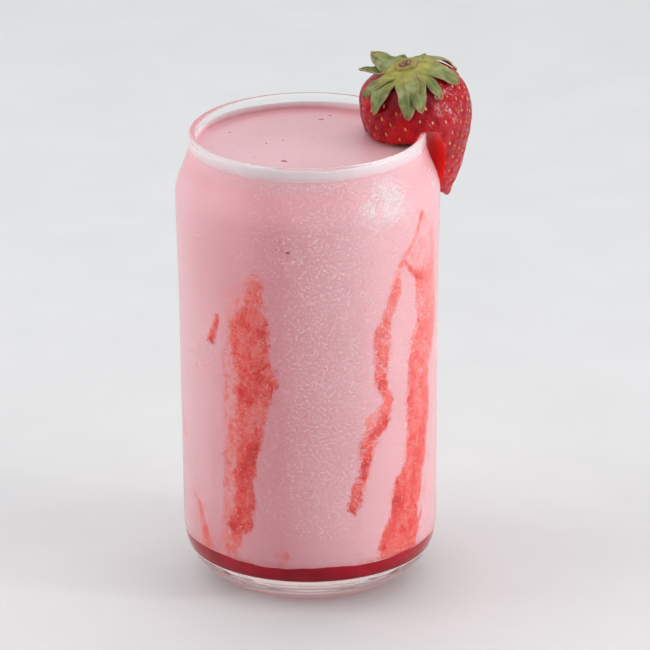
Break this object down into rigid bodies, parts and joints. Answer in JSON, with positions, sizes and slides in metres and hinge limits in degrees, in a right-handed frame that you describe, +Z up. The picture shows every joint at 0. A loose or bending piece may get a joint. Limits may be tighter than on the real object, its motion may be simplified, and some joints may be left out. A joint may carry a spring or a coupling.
{
  "type": "strawberry milkshake in a glass",
  "caption": "Pink milkshake in a clear can-shaped tumbler, with syrup on the floor and streaked down the wall, and a slit strawberry hooked over the rim.",
  "frame": {"origin": "middle of the whole object's footprint, on the surface that the glass stands on; the glass's own axis stands 4.9 mm towards -X of it", "axes": "+Z up along the glass; the berry hooks over the rim on the +X side; -Y is the front"},
  "size_m": [0.0859, 0.076, 0.1538],
  "materials": {
    "glass": "clear, polished soda-lime glass",
    "milkshake": "opaque creamy liquid, softly glossy",
    "syrup": "thick dark fruit syrup, glossy",
    "streak": "thin fruit syrup mixed with milk, glossy",
    "strawberry": "wet fruit skin, glossy",
    "calyx": "soft leaf, satin"
  },
  "bodies": {
    "root": {"glass": "glass", "milkshake": "milkshake", "syrup_layer": "syrup", "syrup_streak_front": "streak", "syrup_streak_drop": "streak", "syrup_streak_thin": "streak", "syrup_streak_right": "streak", "syrup_streak_low": "streak", "syrup_streak_back": "streak", "syrup_streak_back_left": "streak", "syrup_streak_back_right": "streak", "strawberry": "strawberry", "calyx": "calyx"}
  },
  "joints": []
}
